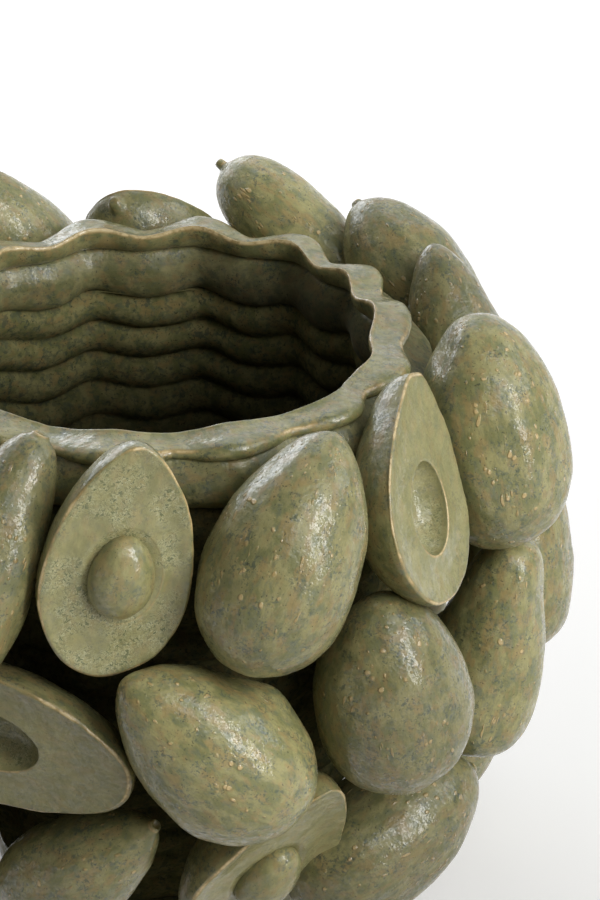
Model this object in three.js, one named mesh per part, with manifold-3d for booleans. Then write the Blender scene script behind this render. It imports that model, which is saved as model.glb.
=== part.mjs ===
// A round stoneware vase built of coils, its outside covered with three rows of moulded avocados.
// Whole fruits alternate with halves that show a pit or the empty hollow of one.
// Millimetres, +Z up. The origin is the middle of the foot, on the table. The front is -Y.
// Places round the vase are degrees from the front, counted towards +X.
import * as THREE from "three";
import { mergeVertices } from "three/addons/utils/BufferGeometryUtils.js";
import Module from "manifold-3d";

const wasm = await Module();
wasm.setup();

// Clearance between two pieces that touch.
const GAP = 0.35;

// The pot. BODY_LINE gives the radius on which the fruits sit, at a few heights.
const BODY_LINE = [[0, 76], [20, 84], [40, 92], [80, 110], [130, 127], [190, 133], [246, 124], [272, 115]];
const RIB_SETBACK = 3;
const RIB_DEPTH = 4;
const WALL_THICKNESS = 12;
const BASE_HEIGHT = 12;
const BASE_RADIUS = 78;
const COIL_COUNT = 13;
const WALL_TOP = 240;
const COIL_PITCH = (WALL_TOP - BASE_HEIGHT) / COIL_COUNT;

// The scallops: the places round the vase of the lobes that swing outward, and how far each rim
// lobe does so.
const LOBE_PLACES = [19, 46, 69, 98, 119, 141, 167, 194, 220, 246, 272, 297, 323, 350];
const LOBE_REACHES = [4.5, 5, 5, 1.5, 4.5, 4.5, 5, 5, 4.5, 4, 4.5, 4, 4.5, 4.5];
const LOBES = LOBE_PLACES.length;
const WALL_LOBE = 2;
const WALL_STEPS = 2 * LOBES;
const RING_STEPS = 6 * LOBES;

// The collar is one stout coil on the wall. Its shoulder grows out by COLLAR_FLARE towards the back.
const COLLAR_TOP = 264;
const COLLAR_RADIUS = 109;
const COLLAR_REACH = 119.5;
const COLLAR_FLARE = 12;
const COLLAR_LOBE = 2;

// The rim is a flatter coil on the collar.
const RIM_HEIGHT = 272;
const RIM_RIDGE = 101.5;
const RIM_REACH = 118;
const INNER_LOBE = 2;
const RIM_LIFT = 1.7;

// The fruits. A whole one is hollowed from its back by a slot this wide.
const FRUIT_SIDES = 10;
const FRUIT_RINGS = 9;
const NARROWING = 0.22;
const SLOT_WIDTH = 36;
const SLOT_END = 22;
const SLOT_FRONT = 15;
const HALF_DEPTH = 34;
const PIT_LENGTH = 41;
const PIT_WIDTH = 29;
const PIT_DEPTH = 11;
const PIT_SHIFT = 9;
const HOLLOW_LENGTH = 41;
const HOLLOW_WIDTH = 29;
const HOLLOW_DEPTH = 13;
const STEM_RADIUS = 3.6;
const STEM_LENGTH = 3;

// One line for each fruit: kind, place round the vase, height of its middle, tilt of its stem from
// upright, length, width, distance of its middle or cut face from the pot, lean of the stem end
// away from the pot, turn about its own length, how much it narrows to the stem, how blunt its
// ends are, and whether its stem stub shows.
const TOP_ROW = [
  { kind: "whole", at: -27.5, z: 229, tilt: 17, length: 118, width: 58, off: 33, lean: -19, narrow: 0.38,
    blunt: 0.6, stem: true },
  { kind: "pit", at: -5, z: 234.7, tilt: 10.5, length: 113, width: 66, off: 32, lean: 9, turn: -16,
    blunt: 1.08 },
  { kind: "whole", at: 21.5, z: 231.7, tilt: 28.6, length: 110, width: 69.4, off: 29.3, lean: -2.7,
    narrow: 0.21, blunt: 1.13 },
  { kind: "hollow", at: 49.2, z: 237.7, tilt: 24, length: 102.8, width: 67.5, off: 32.2, lean: -15.3,
    turn: -6.8, narrow: 0.33, blunt: 1.16 },
  { kind: "whole", at: 74.8, z: 231.1, tilt: 8.8, length: 112, width: 73.5, off: 31.5, lean: -2.8,
    narrow: 0.18, blunt: 0.92 },
  { kind: "whole", at: 108.6, z: 226.3, tilt: 25.4, length: 107.7, width: 54.6, off: 25.7, lean: 2.8,
    narrow: 0.28, blunt: 1.02 },
  { kind: "whole", at: 126.3, z: 235.7, tilt: 46.7, length: 104.2, width: 57.1, off: 35.2, lean: -2.4,
    narrow: -0.03, blunt: 1.13, stem: true },
  { kind: "whole", at: 150.4, z: 243.7, tilt: 65, length: 110.7, width: 44.1, off: 31.9, lean: 13.8,
    narrow: -0.26, blunt: 0.9, stem: true },
  { kind: "pit", at: 178, z: 233, tilt: 24, length: 102, width: 71, off: 32, lean: -20, turn: 5,
    narrow: 0.14, stem: true },
  { kind: "whole", at: 204, z: 236, tilt: 30, length: 112, width: 65, off: 29, lean: 13, stem: true },
  { kind: "hollow", at: 233, z: 233, tilt: -12, length: 106, width: 68, off: 32 },
  { kind: "whole", at: 258, z: 231, tilt: 16, length: 110, width: 67, off: 30, stem: true },
  { kind: "pit", at: 283, z: 234, tilt: -8, length: 107, width: 68, off: 32 },
  { kind: "whole", at: 308, z: 229, tilt: -20, length: 109, width: 67, off: 30 },
];
const MIDDLE_ROW = [
  { kind: "hollow", at: -22.6, z: 147.4, tilt: 101.6, length: 107, width: 68.4, off: 32, lean: -1,
    turn: 1.6, blunt: 0.82 },
  { kind: "whole", at: 8.3, z: 151.6, tilt: -43.9, length: 108.5, width: 71.4, off: 29.2, narrow: 0.28,
    blunt: 1.14 },
  { kind: "whole", at: 39.5, z: 158, tilt: -10.3, length: 103, width: 71.4, off: 32.3, lean: -3.1,
    narrow: 0.13, blunt: 1.06 },
  { kind: "whole", at: 74, z: 135, tilt: 3, length: 108, width: 55.5, off: 32, lean: -3, narrow: 0.27,
    blunt: 0.5, stem: true },
  { kind: "whole", at: 93.8, z: 157.4, tilt: 15.2, length: 105.7, width: 63.3, off: 36.9, lean: -5.9,
    narrow: 0.21, blunt: 0.69 },
  { kind: "whole", at: 121, z: 146, tilt: 35, length: 107, width: 67, off: 30 },
  { kind: "pit", at: 149, z: 148, tilt: -30, length: 106, width: 68, off: 32 },
  { kind: "whole", at: 177, z: 145, tilt: 42, length: 108, width: 68, off: 30, stem: true },
  { kind: "whole", at: 204, z: 150, tilt: -14, length: 107, width: 68, off: 30 },
  { kind: "hollow", at: 231, z: 146, tilt: 28, length: 106, width: 67, off: 32 },
  { kind: "whole", at: 258, z: 150, tilt: -36, length: 108, width: 68, off: 30 },
  { kind: "whole", at: 286, z: 147, tilt: 20, length: 107, width: 67, off: 30, stem: true },
  { kind: "whole", at: 311, z: 156, tilt: -8, length: 106, width: 66, off: 30 },
];
const BOTTOM_ROW = [
  { kind: "whole", at: -15.2, z: 78.5, tilt: 45.3, length: 104, width: 53, off: 25, lean: -1.3,
    narrow: 0.27, blunt: 1.06, stem: true },
  { kind: "pit", at: 21.6, z: 83, tilt: 18.9, length: 109.8, width: 72.7, off: 33, lean: 4.6,
    turn: -6.9, narrow: 0.39, blunt: 1.09 },
  { kind: "whole", at: 49.3, z: 69.3, tilt: 60.7, length: 103.8, width: 66.5, off: 32.9, lean: 8.1,
    narrow: 0.11, blunt: 1.05, stem: true },
  { kind: "whole", at: 95, z: 76, tilt: 20, length: 100, width: 66, off: 31 },
  { kind: "whole", at: 130, z: 72, tilt: -48, length: 106, width: 66, off: 30 },
  { kind: "hollow", at: 166, z: 74, tilt: 62, length: 106, width: 67, off: 32 },
  { kind: "whole", at: 201, z: 70, tilt: -40, length: 107, width: 66, off: 30, stem: true },
  { kind: "whole", at: 237, z: 72, tilt: 50, length: 106, width: 66, off: 30 },
  { kind: "pit", at: 272, z: 76, tilt: -58, length: 106, width: 67, off: 32 },
  { kind: "whole", at: 308, z: 70, tilt: 38, length: 106, width: 65, off: 30 },
];

const ROWS = [["top", TOP_ROW], ["middle", MIDDLE_ROW], ["bottom", BOTTOM_ROW]];
const COLOURS = { whole: 0x7a7856, pit: 0x8a8763, hollow: 0x85825f, stone: 0x74714f, pot: 0x6b6a4d };

const radians = (degrees) => degrees * Math.PI / 180;

// Radius of the line that the fruits sit on, at a height.
function bodyRadius(z) {
  const above = BODY_LINE.findIndex(([height]) => height >= z);
  if (above < 1) return BODY_LINE[above < 0 ? BODY_LINE.length - 1 : 0][1];
  const [lowZ, lowR] = BODY_LINE[above - 1];
  const [highZ, highR] = BODY_LINE[above];
  return lowR + (highR - lowR) * (z - lowZ) / (highZ - lowZ);
}

// Angle by which the pot's surface faces up, at a height.
function bodySlope(z) {
  const reach = 12;
  return Math.atan2(bodyRadius(z - reach) - bodyRadius(z + reach), 2 * reach);
}

// A closed geometry becomes a solid whose faces point out.
function toSolid(geometry) {
  const bare = geometry.clone();
  bare.deleteAttribute("normal");
  bare.deleteAttribute("uv");
  const merged = mergeVertices(bare, 1e-3);
  const index = Uint32Array.from(merged.index.array);
  const corner = (i) => new THREE.Vector3().fromBufferAttribute(merged.attributes.position, index[i]);
  const kept = [];
  let volume = 0;
  for (let i = 0; i < index.length; i += 3) {
    const [a, b, c] = [index[i], index[i + 1], index[i + 2]];
    if (a === b || b === c || c === a) continue;
    volume += corner(i).dot(corner(i + 1).cross(corner(i + 2)));
    kept.push(a, b, c);
  }
  if (volume < 0) kept.reverse();
  const mesh = new wasm.Mesh({
    numProp: 3,
    vertProperties: Float32Array.from(merged.attributes.position.array),
    triVerts: Uint32Array.from(kept),
  });
  return new wasm.Manifold(mesh);
}

// A solid becomes a named mesh of the scene.
function toMesh(name, solid, colour) {
  const { vertProperties, triVerts, numProp } = solid.getMesh();
  const count = vertProperties.length / numProp;
  const positions = new Float32Array(count * 3);
  for (let i = 0; i < count; i += 1) {
    for (let k = 0; k < 3; k += 1) positions[3 * i + k] = vertProperties[numProp * i + k];
  }
  const geometry = new THREE.BufferGeometry();
  geometry.setAttribute("position", new THREE.BufferAttribute(positions, 3));
  geometry.setIndex(new THREE.BufferAttribute(Uint32Array.from(triVerts), 1));
  geometry.computeVertexNormals();
  const material = new THREE.MeshStandardMaterial({ color: colour, roughness: 0.45, metalness: 0 });
  const mesh = new THREE.Mesh(geometry, material);
  mesh.name = name;
  return mesh;
}

// A section of [radius, height] points turned about the upright axis.
function turned(section, steps) {
  const points = section.map(([r, z]) => new THREE.Vector2(r, z));
  return new THREE.LatheGeometry(points, steps).rotateX(Math.PI / 2);
}

// The angle from the front at which a share of the lobes lies, a whole number being a lobe's middle.
function lobeAngle(share) {
  const lobe = Math.floor(share);
  const placeOf = (i) => LOBE_PLACES[i % LOBES] + 360 * Math.floor(i / LOBES);
  return radians(placeOf(lobe) + (placeOf(lobe + 1) - placeOf(lobe)) * (share - lobe));
}

// How far the rim's edge swings at a share of the lobes, from the lobes on each side of it.
function rimReach(share) {
  const lobe = Math.floor(share);
  const [here, next] = [LOBE_REACHES[lobe % LOBES], LOBE_REACHES[(lobe + 1) % LOBES]];
  return here + (next - here) * (share - lobe);
}

// Bends an evenly turned ring to the lobes: each point goes to its lobe's angle, then out and up.
function scallop(geometry, outward, upward = () => 0) {
  const place = geometry.attributes.position;
  for (let i = 0; i < place.count; i += 1) {
    const [x, y, z] = [place.getX(i), place.getY(i), place.getZ(i)];
    const radius = Math.hypot(x, y);
    const share = LOBES * ((Math.atan2(x, -y) / (2 * Math.PI) + 1) % 1);
    const angle = lobeAngle(share);
    const wave = Math.cos(2 * Math.PI * share);
    const reach = radius + outward({ wave, radius, z, angle, share });
    place.setXYZ(i, reach * Math.sin(angle), -reach * Math.cos(angle), z + upward(wave, z));
  }
  return geometry;
}

function makeBaseSlab() {
  const slab = new THREE.CylinderGeometry(BASE_RADIUS, BASE_RADIUS - 2, BASE_HEIGHT - GAP, WALL_STEPS);
  slab.rotateX(Math.PI / 2).translate(0, 0, (BASE_HEIGHT - GAP) / 2);
  return toMesh("base_slab", toSolid(slab), COLOURS.pot);
}

// The wall is ribbed inside and out: each coil bulges between the grooves above and below it.
function makeCoilWall() {
  const outside = [];
  const inside = [];
  for (let coil = 0; coil <= COIL_COUNT; coil += 1) {
    const groove = BASE_HEIGHT + coil * COIL_PITCH - (coil === COIL_COUNT ? GAP : 0);
    const grooveRadius = bodyRadius(groove) - RIB_SETBACK - RIB_DEPTH;
    outside.push([grooveRadius, groove]);
    inside.push([grooveRadius - WALL_THICKNESS + RIB_DEPTH, groove]);
    if (coil === COIL_COUNT) break;
    const crest = groove + COIL_PITCH / 2;
    const crestRadius = bodyRadius(crest) - RIB_SETBACK;
    outside.push([crestRadius, crest]);
    inside.push([crestRadius - WALL_THICKNESS - RIB_DEPTH / 2, crest]);
  }
  const section = [...outside, ...inside.reverse(), outside[0]];
  const wall = scallop(turned(section, WALL_STEPS), ({ wave }) => WALL_LOBE * (wave - 1));
  return toMesh("coil_wall", toSolid(wall), COLOURS.pot);
}

// How far the collar's shoulder stands out at an angle; it dies away up to the rim.
function collarFlare(angle, z) {
  const share = Math.min(1, (COLLAR_TOP - z) / (COLLAR_TOP - WALL_TOP) * 2);
  return COLLAR_FLARE * Math.abs(Math.sin(angle / 2)) ** 0.7 * share;
}

function makeCollarCoil() {
  const section = [
    [COLLAR_RADIUS, WALL_TOP],
    [COLLAR_REACH - 4, WALL_TOP],
    [COLLAR_REACH, WALL_TOP + 6],
    [COLLAR_REACH - 0.5, WALL_TOP + 13],
    [RIM_REACH - 3, COLLAR_TOP - GAP],
    [COLLAR_RADIUS - 4, COLLAR_TOP - GAP],
    [COLLAR_RADIUS - 6, (WALL_TOP + COLLAR_TOP) / 2],
    [COLLAR_RADIUS, WALL_TOP],
  ];
  const outward = ({ wave, radius, z, angle }) => {
    const flare = radius > COLLAR_RADIUS + 1 ? collarFlare(angle, z) : 0;
    return COLLAR_LOBE * (wave - 1) * Math.cos(angle / 2) ** 2 + flare;
  };
  return toMesh("collar_coil", toSolid(scallop(turned(section, RING_STEPS), outward)), COLOURS.pot);
}

function makeRimCoil() {
  const section = [
    [RIM_RIDGE + 3, COLLAR_TOP],
    [RIM_REACH - 3, COLLAR_TOP],
    [RIM_REACH, COLLAR_TOP + 4],
    [RIM_REACH - 1.5, COLLAR_TOP + 6.5],
    [RIM_REACH - 6, RIM_HEIGHT - 0.5],
    [RIM_RIDGE, RIM_HEIGHT + 1],
    [RIM_RIDGE, RIM_HEIGHT - 4],
    [RIM_RIDGE + 3, COLLAR_TOP],
  ];
  const middle = (RIM_RIDGE + RIM_REACH) / 2;
  const outward = ({ wave, radius, share }) => wave * (radius > middle ? rimReach(share) : INNER_LOBE);
  const upward = (wave, z) => RIM_LIFT * wave * (z - COLLAR_TOP) / (RIM_HEIGHT - COLLAR_TOP);
  return toMesh("rim_coil", toSolid(scallop(turned(section, RING_STEPS), outward, upward)), COLOURS.pot);
}

// What the pot takes up, with clearance: the backs of the fruits are cut to it.
function makePotSpace() {
  const clear = (r) => (r + GAP) / Math.cos(Math.PI / WALL_STEPS);
  const rimSpace = clear(RIM_REACH + Math.max(...LOBE_REACHES));
  const wallLine = BODY_LINE.filter(([z]) => z < WALL_TOP).map(([z, r]) => [clear(r - RIB_SETBACK), z]);
  const section = [
    [0, -20],
    [clear(BODY_LINE[0][1]), -20],
    ...wallLine,
    [clear(bodyRadius(WALL_TOP) - RIB_SETBACK), WALL_TOP - GAP],
    [clear(COLLAR_REACH), WALL_TOP - GAP],
    [clear(COLLAR_REACH), WALL_TOP + 6],
    [clear(COLLAR_REACH), WALL_TOP + 13],
    [rimSpace, COLLAR_TOP],
    [rimSpace, RIM_HEIGHT + 1],
    [clear(RIM_REACH), RIM_HEIGHT + RIM_LIFT + 2],
    [0, RIM_HEIGHT + RIM_LIFT + 2],
  ];
  const space = turned(section, WALL_STEPS);
  const place = space.attributes.position;
  for (let i = 0; i < place.count; i += 1) {
    const [x, y, z] = [place.getX(i), place.getY(i), place.getZ(i)];
    const radius = Math.hypot(x, y);
    if (z < WALL_TOP - 2 * GAP || z > COLLAR_TOP - 1 || radius < COLLAR_REACH - 1) continue;
    const stretch = 1 + collarFlare(Math.atan2(x, -y), z) / radius;
    place.setXYZ(i, x * stretch, y * stretch, z);
  }
  return toSolid(space);
}

// An egg-shaped body along X, its stem end at +X. Its sides, rings and shape can be given.
function egg(length, width, depth, choices = {}) {
  const { sides = FRUIT_SIDES, rings = FRUIT_RINGS, narrow = NARROWING, blunt = 1 } = choices;
  const radiusAt = (turn) => Math.sin(turn) ** blunt * (1 - narrow * Math.cos(turn));
  const turns = Array.from({ length: rings + 1 }, (_, i) => Math.PI * i / rings);
  const widest = Math.max(...turns.map(radiusAt)) * Math.sqrt(Math.cos(Math.PI / sides));
  const points = turns.map((turn, i) => {
    const radius = i === 0 || i === rings ? 0 : radiusAt(turn) / widest;
    return new THREE.Vector2(radius, -Math.cos(turn) * length / 2);
  });
  return new THREE.LatheGeometry(points, sides).rotateZ(Math.PI / 2).scale(1, width / 2, depth / 2);
}

// Where a fruit lies: X along it to its stem end, Z away from the pot, the origin at its middle.
function fruitPlace({ at, z, tilt, off, lean = 0, turn = 0 }) {
  const round = radians(at);
  const slope = bodySlope(z);
  const along = new THREE.Vector3(Math.cos(round), Math.sin(round), 0);
  const level = new THREE.Vector3(Math.sin(round), -Math.cos(round), 0);
  const out = level.clone().multiplyScalar(Math.cos(slope)).setZ(Math.sin(slope));
  const up = out.clone().cross(along);
  const middle = level.clone().multiplyScalar(bodyRadius(z)).setZ(z).addScaledVector(out, off);
  const lie = radians(tilt);
  const turnedUp = up.multiplyScalar(Math.cos(lie)).addScaledVector(along, Math.sin(lie));
  const frame = new THREE.Matrix4().makeBasis(turnedUp, out.clone().cross(turnedUp), out);
  frame.multiply(new THREE.Matrix4().makeRotationY(radians(-lean)));
  frame.multiply(new THREE.Matrix4().makeRotationX(radians(-turn)));
  return frame.setPosition(middle);
}

const isHalf = (fruit) => fruit.kind !== "whole";

// The skin of a fruit, grown by a clearance. A half ends at its cut face, the plane Z = 0.
function fruitBody(fruit, grow = 0) {
  const depth = isHalf(fruit) ? 2 * HALF_DEPTH : 0.95 * fruit.width;
  const skin = egg(fruit.length + 2 * grow, fruit.width + 2 * grow, depth + 2 * grow, fruit);
  if (!isHalf(fruit)) return toSolid(skin);
  const size = 2 * fruit.length;
  const front = new THREE.BoxGeometry(size, size, size).translate(0, 0, size / 2 + grow);
  return toSolid(skin).subtract(toSolid(front));
}

// The stub of the stem at the narrow end; on a half it sits on the skin beside the cut.
function stemStub(fruit, grow = 0) {
  const inset = isHalf(fruit) ? 5 : 2;
  const drop = isHalf(fruit) ? 7 : 0;
  const height = STEM_LENGTH + inset + grow;
  const stub = new THREE.CylinderGeometry(STEM_RADIUS - 0.8 + grow, STEM_RADIUS + grow, height, 6);
  stub.rotateZ(-Math.PI / 2).translate(fruit.length / 2 - inset + height / 2, 0, -drop);
  return toSolid(stub);
}

// The pit, a smaller egg that stands half out of the cut face.
function pitBody(grow = 0) {
  const size = [PIT_LENGTH, PIT_WIDTH, 2 * PIT_DEPTH].map((measure) => measure + 2 * grow);
  return toSolid(egg(...size, { rings: 6, narrow: 0.12 }).translate(-PIT_SHIFT, 0, 1));
}

// The round dish left where a pit was taken out, or the shallow moat round one that is still there.
function pitDish(kind) {
  const [length, width, depth] = kind === "pit"
    ? [PIT_LENGTH + 9, PIT_WIDTH + 9, 5]
    : [HOLLOW_LENGTH, HOLLOW_WIDTH, 2 * HOLLOW_DEPTH];
  return toSolid(egg(length, width, depth, { rings: 6, narrow: 0.08 }).translate(-PIT_SHIFT, 0, 0));
}

// The space inside a whole fruit, a round-ended slot that is open where the fruit meets the pot.
function slotSpace(fruit) {
  const reach = 0.95 * fruit.width / 2;
  const slot = egg(fruit.length - 2 * SLOT_END, SLOT_WIDTH, 4 * reach, { sides: 6, rings: 5 });
  return toSolid(slot.translate(0, 0, -reach - SLOT_FRONT));
}

// A fruit's clay before its neighbours are cut out of it, in the place where it belongs.
function fruitClay(fruit, frame) {
  let clay = fruitBody(fruit);
  if (fruit.stem) clay = clay.add(stemStub(fruit));
  if (isHalf(fruit)) clay = clay.subtract(pitDish(fruit.kind));
  if (fruit.kind === "pit") clay = clay.subtract(pitBody(GAP));
  if (!isHalf(fruit)) clay = clay.subtract(slotSpace(fruit));
  return clay.transform(frame.elements);
}

// The room a fruit takes from later neighbours: its skin, stem and pit, each with clearance.
function fruitRoom(fruit, frame) {
  let room = fruitBody(fruit, GAP);
  if (fruit.stem) room = room.add(stemStub(fruit, GAP));
  if (fruit.kind === "pit") room = room.add(pitBody(GAP));
  return room.transform(frame.elements);
}

const vase = new THREE.Group();
vase.add(makeBaseSlab(), makeCoilWall(), makeCollarCoil(), makeRimCoil());

const potSpace = makePotSpace();
const rooms = [];
for (const [row, fruits] of ROWS) {
  fruits.forEach((fruit, i) => {
    const frame = fruitPlace(fruit);
    const number = String(i + 1).padStart(2, "0");
    let clay = fruitClay(fruit, frame).subtract(potSpace);
    for (const room of rooms) clay = clay.subtract(room);
    rooms.push(fruitRoom(fruit, frame));
    const kind = isHalf(fruit) ? "half" : "whole";
    vase.add(toMesh(`${row}_${number}_${kind}`, clay, COLOURS[fruit.kind]));
    if (fruit.kind === "pit") {
      vase.add(toMesh(`${row}_${number}_pit`, pitBody().transform(frame.elements), COLOURS.stone));
    }
  });
}

export default vase;
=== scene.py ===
"""A round olive-glazed stoneware vase, built of coils and covered with moulded avocados.

Shapes are worked out in millimetres and written to the meshes in metres. +Z is up, the front is
-Y, and places round the vase are degrees from the front, counted towards +X.
"""
import math
from dataclasses import dataclass
import bpy
import numpy as np
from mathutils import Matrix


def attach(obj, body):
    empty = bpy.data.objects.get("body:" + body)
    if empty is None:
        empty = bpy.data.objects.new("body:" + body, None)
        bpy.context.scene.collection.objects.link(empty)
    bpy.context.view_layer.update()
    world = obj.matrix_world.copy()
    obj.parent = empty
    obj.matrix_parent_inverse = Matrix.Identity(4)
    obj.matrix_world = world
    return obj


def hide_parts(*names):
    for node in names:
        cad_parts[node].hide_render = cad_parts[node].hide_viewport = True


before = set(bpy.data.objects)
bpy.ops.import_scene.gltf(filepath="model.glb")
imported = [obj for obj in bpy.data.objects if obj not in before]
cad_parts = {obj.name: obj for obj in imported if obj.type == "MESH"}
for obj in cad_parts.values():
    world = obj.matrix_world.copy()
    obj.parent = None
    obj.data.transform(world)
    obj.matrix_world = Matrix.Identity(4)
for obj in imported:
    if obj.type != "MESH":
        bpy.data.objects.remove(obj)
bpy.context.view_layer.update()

MM = 0.001
FULL_TURN = 2 * math.pi

# Radius on which the fruits sit, at a few heights, and the steps over which it is rounded off.
BODY_LINE = [(0, 76), (20, 84), (40, 92), (80, 110), (130, 127), (190, 133), (246, 124), (272, 115)]
LINE_STEPS = (-9, -4.5, 0, 4.5, 9)

# The coils of the wall, with how far their grooves and crests lie inside that radius.
WALL_FOOT = 12
WALL_TOP = 240
FOOT_GAP = 0.3
TOP_GAP = 0.4
COILS = 13
PITCH = (WALL_TOP - WALL_FOOT) / COILS
COIL_ROUNDNESS = 0.7
OUTER_GROOVE = 7
OUTER_RIB = 4
INNER_GROOVE = 15
INNER_RIB = 4.6

# Outside, the wall has faint lobes and is tucked in under the collar, from one height to another.
OUTER_LOBE = 2
OUTER_TUCK = 4.0
TUCK_HEIGHTS = (205, 240)

# Inside, it swells inward between upright creases, which follow the lobes of the rim.
SWELL = 4.6
SWELL_DROOP = 3.6
CREASE_SOFTNESS = 0.12

# The coils inside rise towards the left of the mouth, between these places round it.
COIL_RISE = 6.0
LEFT_BEGINS = (205, 245)
LEFT_ENDS = (280, 340)

# Painted shade on the wall: how dark it is painted outside, behind the fruits, and in the grooves
# inside it, how much painted light the right and the left of the inside keep at the top, and the
# depths at which that painted light is gone.
OUTER_PAINTED_SHADE = 0.76
GROOVE_PAINTED_SHADE = 0.4
LIGHT_RIGHT = 0.7
LIGHT_LEFT = 0.42
DARK_RIGHT = 104
DARK_LEFT = 160
SHADED_PLACE = 120
SHADED_SHARE = 0.42

# Where the outward lobes of the rim lie and how far each swings, and the swing of the other parts.
LOBE_PLACES = [19, 46, 69, 98, 119, 141, 167, 194, 220, 246, 272, 297, 323, 350]
LOBE_REACHES = [4.5, 5, 5, 1.5, 4.5, 4.5, 5, 5, 4.5, 4, 4.5, 4, 4.5, 4.5]
LOBES = len(LOBE_PLACES)
INNER_LOBE = 2.0
RIM_LIFT = 1.7
COLLAR_LOBE = 2.0
COLLAR_TOP_LOBE = 0.85
COLLAR_FLARE = 12.0

# Where the mouth's edge bulges out: place round it, width in degrees, depth.
MOUTH_BULGES = [(47, 14, 3.5), (138, 10, 2.0), (100, 12, -1.0)]

# Corners of the sections that are carried round the pot, each a radius and a height.
RIM_SECTION = [
    (106.0, 261.5), (103.2, 263.8), (101.6, 267.5), (101.2, 271.2), (101.9, 273.6), (103.8, 272.4),
    (108.0, 271.7), (113.0, 271.6), (116.2, 271.0), (118.2, 268.8), (117.6, 266.2), (115.0, 264.8),
]
COLLAR_SECTION = [
    (109.0, 239.4), (106.0, 241.4), (103.4, 246.0), (102.8, 252.0), (104.6, 257.6), (107.5, 261.5),
    (112.0, 265.0), (115.2, 265.0), (117.5, 261.5), (119.0, 256.5), (119.8, 251.0), (119.0, 246.0),
    (116.0, 242.0), (112.4, 240.0),
]
SLAB_BOTTOM = 0.6
SLAB_TOP = 11.65
SLAB_SECTION = [
    (2, SLAB_BOTTOM), (40, 0.5), (66, 0.4), (70, 0.0), (74.5, 0.0), (76.4, 0.8), (77.6, 2.6), (77.8, 5),
    (77.8, 8), (77.2, 10.6), (75.8, 11.6), (70, SLAB_TOP), (50, SLAB_TOP), (2, SLAB_TOP),
]
ROUNDING_PASSES = 2

# The worn lines of the rim, its sharp inner edge and its outer fold: place and reach in the section.
RIM_EDGE = ((102.0, 272.3), (1.1, 1.2))
RIM_FOLD = ((116.9, 270.0), (1.2, 1.2))

# How fine the meshes are: points round each piece, and rows along it.
RING_COLUMNS = 1000
WALL_COLUMNS = 840
OUTER_ROWS = COILS * 10 + 6
INNER_ROWS = COILS * 15 + 1
SLAB_COLUMNS = 240
WHOLE_COLUMNS = 150
WHOLE_ROWS = 160
HALF_COLUMNS = 200
DISH_ROWS = 22
FACE_ROWS = 26
LIP_ROWS = 10
SKIN_ROWS = 48
PIT_COLUMNS = 80
PIT_ROWS = 60

# Lumps and dents of hand-pressed clay: how high and how wide each kind is.
WHOLE_LUMPS = ((0.9, 32), (0.45, 15), (0.16, 7))
WHOLE_STREAK = (0.3, 9)
HALF_LUMPS = ((0.8, 30), (0.35, 13))
FACE_DENTS = ((0.3, 11), (0.12, 4.5))
PIT_LUMPS = ((0.4, 14), (0.14, 5))
RING_DENTS = ((0.45, 21), (0.3, 9), (0.12, 4))

# Starting places in the noise, and how far apart its places and the glaze's are from fruit to fruit.
FRUIT_START = 1000
PIT_START = 3000
RING_START = 4000
NOISE_STEP = 200
GRAIN_STEP = 160
PIT_GRAIN = 50
SEED_STEP = 10

# The shapes of the fruits. A whole one is a little less deep than wide.
NARROWING = 0.22
WHOLE_DEPTH = 0.95
HALF_DEPTH = 34
POLE_PLACE = -3.0
SLOPE_REACH = 12

# A fruit with no facets of its own gets faint ones: how many, the shares left and their softness.
MILD_FACETS = 4
MILD_SHARES = (0.97, 0.985)
MILD_SOFTNESS = 1.2

# The cut face of a half: its height at the dish, how far it sags and how far it stays from the edge.
FACE_RISE = 0.1
FACE_SAG = 0.9
FACE_INSET = 4.0
LIP_RADIUS = 1.7
LIP_TOP = 0.45
LIP_FOOT = LIP_TOP - LIP_RADIUS
LIP_INSET = 0.1

# Rings round a dish's lip: how far out, how high and how worn. It stands up most on one side.
DISH_LIP = ((1.015, 0.2, 1.0), (1.04, 0.5, 0.8), (1.08, 0.25, 0.2))
DISH_LIP_PLACE = 1.3 * math.pi
DISH_FLATNESS = 2.4
CRUSTED_ROWS = 18

PIT_PLACE = (-9, 0)
PIT_SIZE = (19.6, 14.2, 11)
PIT_RAISED = 1
PIT_FLESH = 0.4

# A stem knob on the skin of a half: how far below the cut, its radius, and how far it stands out.
KNOB_DROP = 7.5
KNOB_RADIUS = 4.6
KNOB_EDGE = 2.2
KNOB_HEIGHT = 4.2
KNOB_ROOM = 16
KNOB_WEAR = 0.45

# Stem stubs as rings of distance past the fruit's end and radius, from the middle outwards.
STEMS = {
    "nub": [(1.2, 0.7), (1.3, 1.5), (1.0, 2.2), (0.3, 2.7), (-0.5, 3.1)],
    "peg": [(3.9, 0.7), (4.2, 1.5), (4.0, 2.2), (2.8, 2.6), (0.9, 2.8), (-0.9, 3.2)],
    "ring": [(-0.9, 0.8), (-0.7, 1.8), (0.7, 2.5), (1.3, 3.2), (0.9, 3.9), (-0.1, 4.5)],
    "hook": [(0.4, 0.6), (0.8, 1.3), (2.2, 2.0), (2.0, 2.7), (0.8, 3.2), (-0.4, 3.6)],
}
STUB_ROOM = 0.03


@dataclass
class Dish:
    """The dish in a cut face: its half length, half width and depth, how its floor curves up, how
    much its lip stands up and how much pale crust its floor has at least."""
    size: tuple
    curve: float
    lip: float
    crust: float


DISHES = {
    "pit": Dish((23.2, 17.4, 2.8), curve=1.25, lip=0.45, crust=0),
    "hollow": Dish((20.5, 14.5, 13.0), curve=0.62, lip=1, crust=0.7),
}


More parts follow.
